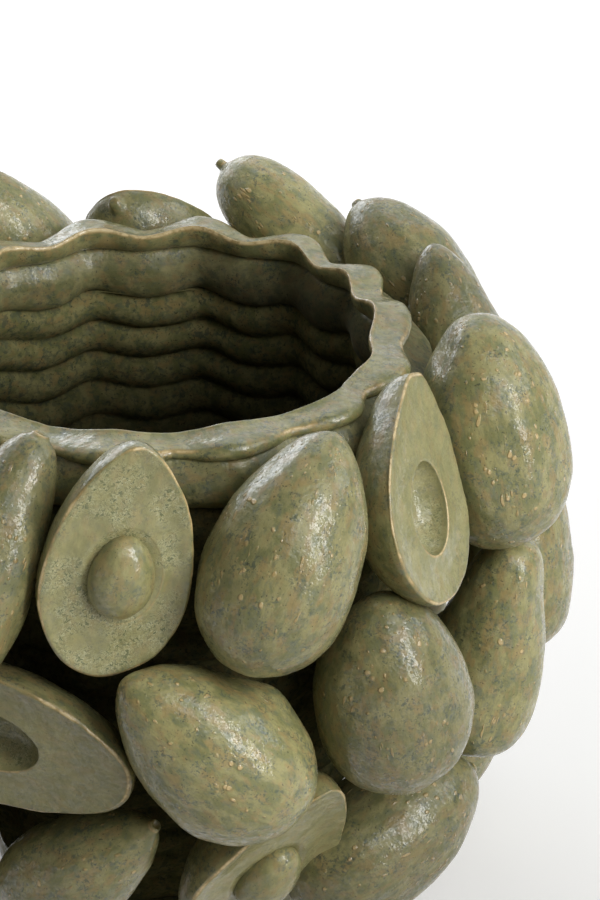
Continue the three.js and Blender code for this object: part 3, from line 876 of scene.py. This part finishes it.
def base_slab(material):
    section = np.array(SLAB_SECTION)
    angle = full_circle(SLAB_COLUMNS)
    height = section[:, 1:] + 0 * angle
    grid = round_pot(section[:, :1], angle, height)
    flat = np.zeros(grid.shape[:2])
    # The top of the slab, the floor inside the vase, gets half painted shade as deep.
    values = {"wear": flat, "grain": grid + 1200, "face": flat, "deep": 0.5 * (height > 11)}
    piece = build("foot", grid, values, [np.array([0, 0, SLAB_BOTTOM]), np.array([0, 0, SLAB_TOP])])
    settle(piece, "base_slab", material)


# The glaze.

@dataclass
class Patches:
    """Noise made into patches: how wide in millimetres, the noise at which they begin and are full,
    the noise's detail, roughness and warp, and the strength outside and inside them."""
    size: float
    low: float
    high: float
    detail: float = 3
    rough: float = 0.55
    warp: float = 0
    outside: float = 0
    inside: float = 1


class Nodes:
    """Short ways to add shader nodes to one material or to the world."""

    def __init__(self, owner):
        owner.use_nodes = True
        self.owner = owner
        self.tree = owner.node_tree
        self.tree.nodes.clear()

    def put(self, node, key, item):
        """Links a socket to a node's input, or sets the input to a plain number or colour."""
        if isinstance(item, bpy.types.NodeSocket):
            self.tree.links.new(item, node.inputs[key])
        else:
            node.inputs[key].default_value = item

    def add(self, kind, inputs=None, **settings):
        node = self.tree.nodes.new(kind)
        for key, value in settings.items():
            setattr(node, key, value)
        for key, item in (inputs or {}).items():
            self.put(node, key, item)
        return node

    def value(self, operation, a, b=0.0, clamp=False):
        return self.add("ShaderNodeMath", {0: a, 1: b}, operation=operation, use_clamp=clamp).outputs[0]

    def times(self, a, b):
        return self.value("MULTIPLY", a, b)

    def stretched(self, vector, scale):
        return self.add("ShaderNodeMapping", {"Vector": vector, "Scale": scale}).outputs[0]

    def noise(self, vector, size, detail, rough=0.55, warp=0.0):
        """Noise whose bumps are about as wide as size, in the vector's own units."""
        node = self.add("ShaderNodeTexNoise", {"Vector": vector, "Scale": 1 / size, "Detail": detail,
                                               "Roughness": rough, "Distortion": warp})
        return node.outputs["Fac"]

    def patches(self, vector, kind):
        field = self.noise(vector, kind.size, kind.detail, kind.rough, kind.warp)
        return self.ramp(field, kind.low, kind.high, kind.outside, kind.inside)

    def cells(self, vector, scale):
        """Distance from the middle of scattered cells in a stretched vector."""
        inputs = {"Vector": self.stretched(vector, scale), "Scale": 1.0}
        return self.add("ShaderNodeTexVoronoi", inputs).outputs["Distance"]

    def swayed(self, vector, size, reach):
        """The vector with its places moved about, so that regular patterns made from it turn uneven."""
        sway = self.add("ShaderNodeTexNoise", {"Vector": vector, "Scale": 1 / size, "Detail": 1.0})
        inputs = {0: sway.outputs["Color"], 1: (reach, reach, reach), 2: vector}
        return self.add("ShaderNodeVectorMath", inputs, operation="MULTIPLY_ADD").outputs[0]

    def ramp(self, value, low, high, start=0.0, end=1.0, ease="SMOOTHSTEP"):
        inputs = {"Value": value, "From Min": low, "From Max": high, "To Min": start, "To Max": end}
        return self.add("ShaderNodeMapRange", inputs, interpolation_type=ease).outputs[0]

    def mix(self, factor, a, b):
        return self.add("ShaderNodeMix", {0: factor, 6: a, 7: b}, data_type="RGBA").outputs[2]

    def bump(self, height, strength, distance, under=None):
        """Relief from a height, on top of another relief where one is given."""
        inputs = {"Strength": strength, "Distance": distance, "Height": height}
        if under is not None:
            inputs["Normal"] = under
        return self.add("ShaderNodeBump", inputs).outputs[0]

    def attribute(self, name, output="Fac"):
        return self.add("ShaderNodeAttribute", attribute_name=name).outputs[output]

    def finish(self, kind, surface):
        out = self.add(kind)
        self.tree.links.new(surface.outputs[0], out.inputs[0])
        return self.owner


def colour(red, green, blue):
    """An sRGB colour, 0 to 255, as linear light."""
    def linear(c):
        c = c / 255
        return c / 12.92 if c <= 0.04045 else ((c + 0.055) / 1.055) ** 2.4
    return (linear(red), linear(green), linear(blue), 1)


KHAKI = colour(154, 148, 101)
SAGE = colour(124, 124, 80)
TAN = colour(156, 132, 86)
BLUE_GREY = colour(106, 114, 94)
SLATE = colour(80, 91, 77)
DARK = colour(52, 54, 42)
FLESH = colour(164, 159, 114)
BLOOM = colour(188, 187, 150)
MOSS = colour(98, 107, 74)
ORANGE = colour(184, 154, 102)
CREAM = colour(226, 206, 158)

# The ground and the marks on it.
SAGE_DRIFTS = Patches(8, 0.4, 0.6, detail=4, rough=0.6, warp=0.3)
TAN_RUNS = Patches(5, 0.47, 0.64, inside=0.6)
GREY_BLOTS = Patches(4, 0.52, 0.68, detail=4, rough=0.6, warp=0.4, inside=0.5)
SLATE_THREADS = Patches(1.4, 0.45, 0.7, detail=2, rough=0.6, inside=0.22)
FINE_MOTTLES = Patches(1.7, 0.5, 0.6, rough=0.65, warp=0.4)
FINE_CLUSTERS = Patches(9, 0.47, 0.64, detail=2, rough=0.5, outside=0.06, inside=0.75)
BROAD_MOTTLES = Patches(2.7, 0.5, 0.6, rough=0.65, warp=0.4)
BROAD_CLUSTERS = Patches(9, 0.47, 0.64, detail=2, rough=0.5, outside=0.45, inside=0.75)
SPECKS = Patches(1.2, 0.67, 0.73, detail=1, inside=0.65)

# The crystals on the cut faces.
BLOOM_AREAS = Patches(22, 0.38, 0.56, detail=2)
BLOOM_PATCHES = Patches(4, 0.38, 0.55, outside=0.35)
BLOOM_LINE = 0.49
FLESH_SHARE = 0.48

# Pores and streaks: how wide they are, and where they come in rows and patches.
PORE_WIDTHS = Patches(7, 0.35, 0.68, detail=1, outside=0.06, inside=0.33)
PORE_ROWS = Patches(10, 0.46, 0.55, detail=2)
STREAK_PATCHES = Patches(12, 0.52, 0.6, detail=2, inside=0.9)
PORE_CELLS = (0.2, 0.24, 0.24)
STREAK_CELLS = (0.06, 0.36, 0.36)

# Edges, gloss and roughness.
BROKEN_EDGES = Patches(3.3, 0.3, 0.6, detail=4, rough=0.6, outside=0.5)
FLECKS = {"size": 2.1, "low": 0.46, "high": 0.53, "detail": 4, "rough": 0.75, "warp": 0.5}
COAT_PATCHES = Patches(9, 0.36, 0.54, outside=0.5)
SATIN = Patches(3, 0.36, 0.62, rough=0.6, outside=0.36, inside=0.52)

# The strength and height in metres of the glaze's waves, its pores and the crinkle of its coat.
WAVE_RELIEF = (0.35, 0.0014)
PORE_RELIEF = (0.7, 0.0005)
CRINKLE_RELIEF = (0.3, 0.0008)

# How fast the painted shade in deep takes the gloss off the glaze, and how far it darkens its colour.
DEEP_DULLS = 2.2
PAINTED_SHADE_DARKENS = 0.93


def ground(n, grain, drawn):
    """The glaze's drifting khaki, sage, tan and blue-grey, drawn out along a fruit."""
    drift = n.stretched(grain, (drawn, 1, 1))
    tone = n.mix(n.patches(drift, SAGE_DRIFTS), KHAKI, SAGE)
    tone = n.mix(n.patches(n.stretched(drift, (0.8, 1, 1)), TAN_RUNS), tone, TAN)
    tone = n.mix(n.patches(drift, GREY_BLOTS), tone, BLUE_GREY)
    return n.mix(n.patches(n.stretched(grain, (0.3, 1, 1)), SLATE_THREADS), tone, SLATE)


def mottled(n, grain, tone, mottles, clusters):
    """Slate mottles in clusters, and sparse dark specks."""
    tone = n.mix(n.times(n.patches(grain, mottles), n.patches(grain, clusters)), tone, SLATE)
    return n.mix(n.patches(grain, SPECKS), tone, DARK)


def cut_face(n, grain, tone):
    """The smoother cut face, with the pale crystals that some faces have round dark green blotches."""
    tone = n.mix(n.times(n.attribute("face"), FLESH_SHARE), tone, FLESH)
    bloom = n.times(n.attribute("bloom"), n.patches(grain, BLOOM_AREAS))
    bloom = n.times(bloom, n.patches(grain, BLOOM_PATCHES))
    net = n.noise(grain, 1.5, 3, 0.65, 0.8)
    tone = n.mix(n.times(bloom, n.ramp(net, 0.52, 0.58, 0.0, 0.85)), tone, MOSS)
    lines = n.value("ABSOLUTE", n.value("SUBTRACT", net, BLOOM_LINE))
    return n.mix(n.times(bloom, n.ramp(lines, 0.042, 0.016, 0.0, 0.9)), tone, BLOOM)


def pores(n, grain):
    """The raised pores of an avocado's skin in loose rows, and others drawn out into short streaks."""
    places = n.swayed(grain, 16, 7.0)
    width = n.patches(grain, PORE_WIDTHS)
    dot = n.ramp(n.value("SUBTRACT", width, n.cells(places, PORE_CELLS)), -0.04, 0.16)
    dot = n.times(dot, n.patches(n.stretched(grain, (0.3, 1, 1)), PORE_ROWS))
    streak = n.ramp(n.value("SUBTRACT", width, n.cells(places, STREAK_CELLS)), 0.0, 0.12)
    streak = n.times(streak, n.patches(n.stretched(grain, (0.6, 1, 1)), STREAK_PATCHES))
    return n.value("MAXIMUM", dot, streak)


def worn(n, grain, tone):
    """Edges worn to orange and then to cream."""
    broken = n.value("MULTIPLY", n.attribute("wear"), n.patches(grain, BROKEN_EDGES), True)
    tone = n.mix(n.ramp(broken, 0.15, 0.6, 0.0, 0.75), tone, ORANGE)
    return n.mix(n.ramp(broken, 0.42, 0.88, 0.0, 0.85), tone, CREAM)


def make_glaze(name, dots=0.0, drawn=0.65, coat=(0.3, 1.0), shine=0.5,
               mottles=FINE_MOTTLES, clusters=FINE_CLUSTERS):
    """A glaze: its share of pores, how drawn out it is, its coat from thin to thick, its shine, and
    its mottles and their clusters."""
    n = Nodes(bpy.data.materials.new(name))
    grain = n.attribute("grain", "Vector")
    tone = mottled(n, grain, ground(n, grain, drawn), mottles, clusters)
    tone = cut_face(n, grain, tone)
    pore = n.times(pores(n, grain), dots)
    tone = n.mix(n.times(pore, 0.8), tone, ORANGE)
    # The pores' cream centres are partly the glaze breaking thin on the raised dots and partly a painted
    # highlight.
    tone = n.mix(n.ramp(pore, 0.75, 1.0, 0.0, 0.35), tone, CREAM)
    tone = worn(n, grain, tone)

    relief = n.bump(n.noise(grain, 5.2, 3), *WAVE_RELIEF)
    relief = n.bump(pore, *PORE_RELIEF, relief)
    crinkle = n.bump(n.noise(grain, 2.0, 1, 0.6), *CRINKLE_RELIEF, relief)

    deep = n.attribute("deep")
    dull = n.value("MULTIPLY", deep, DEEP_DULLS, True)
    thin, thick = coat
    flecks = n.patches(grain, Patches(**FLECKS, outside=thin, inside=thick))
    thickness = n.times(flecks, n.patches(grain, COAT_PATCHES))
    # shade darkens the colour by deep, which is painted shade, and makes it paler or darker by pale, partly
    # the glaze's own tone from fruit to fruit and partly painted light or painted shade.
    shade = n.value("SUBTRACT", n.value("ADD", 1.0, n.attribute("pale")), n.times(deep, PAINTED_SHADE_DARKENS))
    shader = n.add("ShaderNodeBsdfPrincipled", {
        "Base Color": n.add("ShaderNodeVectorMath", {0: tone, 1: shade}, operation="MULTIPLY").outputs[0],
        "Roughness": n.value("MAXIMUM", n.patches(grain, SATIN), dull),
        "Normal": relief,
        "IOR": 1.45,
        "Specular IOR Level": shine,
        "Coat Weight": n.times(thickness, n.value("SUBTRACT", 1.0, dull)),
        "Coat Roughness": 0.12,
        "Coat IOR": 1.5,
        "Coat Normal": crinkle,
    })
    return n.finish("ShaderNodeOutputMaterial", shader)


# Floor and light.

# Each lamp: name, degrees round from the front towards +X, degrees up, width and height in metres,
# watts, colour. All stand LAMP_REACH metres from a point LAMP_AIM metres up the vase's middle.
LAMP_REACH = 3.0
LAMP_AIM = 0.15
LAMPS = [
    ("key", 47, 24, 0.8, 2.1, 44, (1, 0.99, 0.95)),
    ("window", 38, 44, 2.4, 1.8, 29, (0.99, 1, 0.99)),
    ("right", 90, 32, 1.4, 1.4, 14, (0.94, 1, 1.05)),
    ("left", -105, 42, 1.8, 1.8, 7, (1, 0.98, 0.94)),
    ("back", 170, 55, 2.2, 2.2, 10, (0.93, 1, 1.06)),
    ("rear", 210, 20, 2.4, 1.5, 27, (0.96, 1, 1.03)),
]
WHITE = (1, 1, 1, 1)
WORLD_LEVEL = 0.08
GLOSS_LEVEL = 0.06

# The sheen is a white band behind the vase: how far up and back a reflection has to look to see it.
SHEEN_UP = 0.5
SHEEN_BACK = 0.85
SHEEN_EDGE = (0.3, 0.7)

# How strongly the floor glows near the vase and well behind it, low near it as a painted shadow:
# world Y in metres and strength.
FLOOR_SIZE = 14
FLOOR_NEAR = (-0.35, 0.16)
FLOOR_FAR = (1.2, 0.72)

# Far from the vase it whitens all round, between these distances.
FLOOR_EDGE = (2.0, 3.6)

# The floor's colour as it is seen, and the quieter one with which it lights the vase from below.
FLOOR_COLOUR = (0.815, 0.8, 0.79, 1)
FLOOR_BOUNCE = (0.44, 0.42, 0.36, 1)


def floor_white():
    n = Nodes(bpy.data.materials.new("floor_white"))
    rays = n.add("ShaderNodeLightPath").outputs
    seen = n.value("MAXIMUM", rays["Is Camera Ray"], rays["Is Glossy Ray"])
    plain = n.add("ShaderNodeBsdfDiffuse", {"Color": n.mix(seen, FLOOR_BOUNCE, FLOOR_COLOUR)})
    spot = n.add("ShaderNodeNewGeometry").outputs["Position"]
    back = n.add("ShaderNodeSeparateXYZ", {0: spot}).outputs[1]
    reach = n.add("ShaderNodeVectorMath", {0: spot}, operation="LENGTH").outputs["Value"]
    # The glow whitens the floor as a backdrop far from the vase and stays low near the vase and in front of
    # it, a painted shadow there.
    behind = n.ramp(back, FLOOR_NEAR[0], FLOOR_FAR[0], FLOOR_NEAR[1], FLOOR_FAR[1], "LINEAR")
    glow = n.times(seen, n.value("MAXIMUM", behind, n.ramp(reach, *FLOOR_EDGE)))
    glow = n.add("ShaderNodeEmission", {"Color": WHITE, "Strength": glow})
    both = n.add("ShaderNodeAddShader", {0: plain.outputs[0], 1: glow.outputs[0]})
    return n.finish("ShaderNodeOutputMaterial", both)


def make_floor():
    mesh = bpy.data.meshes.new("floor")
    signs = ((-1, -1), (1, -1), (1, 1), (-1, 1))
    mesh.from_pydata([(x * FLOOR_SIZE, y * FLOOR_SIZE, 0) for x, y in signs], [], [(0, 1, 2, 3)])
    mesh.materials.append(floor_white())
    floor = bpy.data.objects.new("floor", mesh)
    bpy.context.scene.collection.objects.link(floor)


def make_world():
    """White to the camera, a dim grey light otherwise, with a white band behind for reflections."""
    world = bpy.data.worlds.new("studio")
    bpy.context.scene.world = world
    n = Nodes(world)
    rays = n.add("ShaderNodeLightPath").outputs
    way = n.add("ShaderNodeSeparateXYZ", {0: n.add("ShaderNodeTexCoord").outputs["Generated"]}).outputs
    behind = n.value("ADD", n.times(way[2], SHEEN_UP), n.times(way[1], SHEEN_BACK))
    gloss = n.value("MAXIMUM", n.ramp(behind, *SHEEN_EDGE), GLOSS_LEVEL)
    gloss = n.times(gloss, rays["Is Glossy Ray"])
    plain = n.times(n.value("SUBTRACT", 1.0, rays["Is Glossy Ray"]), WORLD_LEVEL)
    level = n.value("MAXIMUM", n.value("ADD", gloss, plain), rays["Is Camera Ray"])
    n.finish("ShaderNodeOutputWorld", n.add("ShaderNodeBackground", {"Color": WHITE, "Strength": level}))


def make_lamp(name, place, height, width, tall, watts, tint):
    a, e = math.radians(place), math.radians(height)
    way = np.array([math.sin(a) * math.cos(e), -math.cos(a) * math.cos(e), math.sin(e)])
    data = bpy.data.lights.new(name, "AREA")
    data.shape = "RECTANGLE"
    data.size = width
    data.size_y = tall
    data.energy = watts
    data.color = tint
    lamp = bpy.data.objects.new(name, data)
    lamp.location = way * LAMP_REACH + np.array([0, 0, LAMP_AIM])
    lamp.rotation_euler = (math.pi / 2 - e, 0, a)
    bpy.context.scene.collection.objects.link(lamp)


make_camera()
bpy.context.scene.view_settings.view_transform = "Standard"

pot_glaze = make_glaze("pot_glaze", drawn=1.0, coat=(0.5, 1.0))
wall_glaze = make_glaze("wall_glaze", drawn=1.0, coat=(0.0, 0.0), shine=0.0,
                        mottles=BROAD_MOTTLES, clusters=BROAD_CLUSTERS)
skin_glaze = make_glaze("skin_glaze", dots=1.0)
flesh_glaze = make_glaze("flesh_glaze")
pit_glaze = make_glaze("pit_glaze")

base_slab(pot_glaze)
coil_wall(wall_glaze)
collar_coil(pot_glaze)
rim_coil(pot_glaze)
for number, fruit in enumerate(FRUITS):
    seed = SEED_STEP * number + 1
    if fruit.kind == "whole":
        whole_fruit(fruit, seed, skin_glaze)
    else:
        half_fruit(fruit, seed, flesh_glaze)
    if fruit.kind == "pit":
        pit_stone(fruit, seed, pit_glaze)

make_floor()
make_world()
for lamp in LAMPS:
    make_lamp(*lamp)
